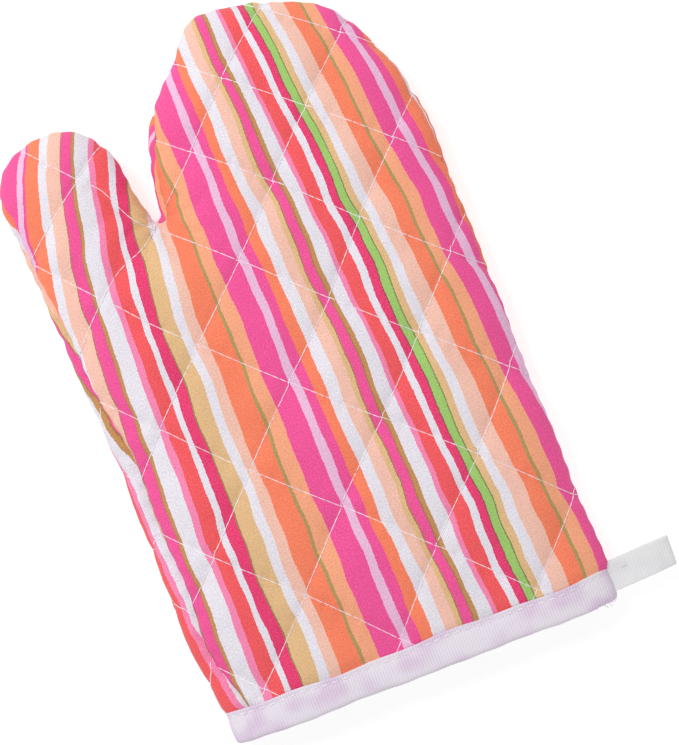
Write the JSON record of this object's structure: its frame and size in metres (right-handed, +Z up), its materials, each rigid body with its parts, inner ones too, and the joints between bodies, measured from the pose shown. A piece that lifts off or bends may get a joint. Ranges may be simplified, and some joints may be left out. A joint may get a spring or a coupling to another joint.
{
  "type": "oven mitt",
  "caption": "Quilted striped oven mitt with a separate thumb, a white bound cuff and a side hanging loop, lying flat on its back panel.",
  "frame": {"origin": "middle of the base of the mitt's box, on the plane it lies on", "axes": "+Y from the cuff to the fingertips, +X across the mitt towards the hanging loop, +Z up through its thickness"},
  "size_m": [0.2008, 0.28, 0.024],
  "materials": {
    "printed_cotton": "plain-weave cotton printed with lengthwise stripes in pink, orange, coral, tan, green and white",
    "wadding": "bonded polyester wadding",
    "lining_cotton": "plain white woven cotton",
    "binding_tape": "white twill tape, thin enough for the print under it to tint it",
    "sewing_thread": "white polyester sewing thread"
  },
  "bodies": {
    "hand": {"hand_front_shell": "printed_cotton", "hand_back_shell": "printed_cotton", "hand_front_wadding": "wadding", "hand_back_wadding": "wadding", "hand_front_lining": "lining_cotton", "hand_back_lining": "lining_cotton", "hand_front_quilting": "sewing_thread", "hand_back_quilting": "sewing_thread", "hand_seam_allowance": "lining_cotton", "hand_seam_overlock": "sewing_thread", "cuff_binding": "binding_tape", "cuff_topstitch": "sewing_thread"},
    "thumb": {"thumb_front_shell": "printed_cotton", "thumb_back_shell": "printed_cotton", "thumb_front_wadding": "wadding", "thumb_back_wadding": "wadding", "thumb_front_lining": "lining_cotton", "thumb_back_lining": "lining_cotton", "thumb_front_quilting": "sewing_thread", "thumb_back_quilting": "sewing_thread", "thumb_seam_allowance": "lining_cotton", "thumb_seam_overlock": "sewing_thread"},
    "fingers": {"fingers_front_shell": "printed_cotton", "fingers_back_shell": "printed_cotton", "fingers_front_wadding": "wadding", "fingers_back_wadding": "wadding", "fingers_front_lining": "lining_cotton", "fingers_back_lining": "lining_cotton", "fingers_front_quilting": "sewing_thread", "fingers_back_quilting": "sewing_thread", "fingers_seam_allowance": "lining_cotton", "fingers_seam_overlock": "sewing_thread"},
    "loop": {"hanging_loop": "binding_tape", "loop_stitching": "sewing_thread"}
  },
  "joints": [
    {"name": "thumb_fold", "type": "hinge", "parent": "hand", "child": "thumb", "pos_m": [-0.04597, 0.067, 0.024], "axis": [0.5012, 0.8653, 0], "range_deg": [0, 60]},
    {"name": "finger_fold", "type": "hinge", "parent": "hand", "child": "fingers", "pos_m": [0.012, 0.074, 0.024], "axis": [1, 0, 0], "range_deg": [0, 75]},
    {"name": "loop_flop", "type": "hinge", "parent": "hand", "child": "loop", "pos_m": [0.07523, -0.13205, 0.012], "axis": [0, 1, 0], "range_deg": [-60, 60]}
  ]
}
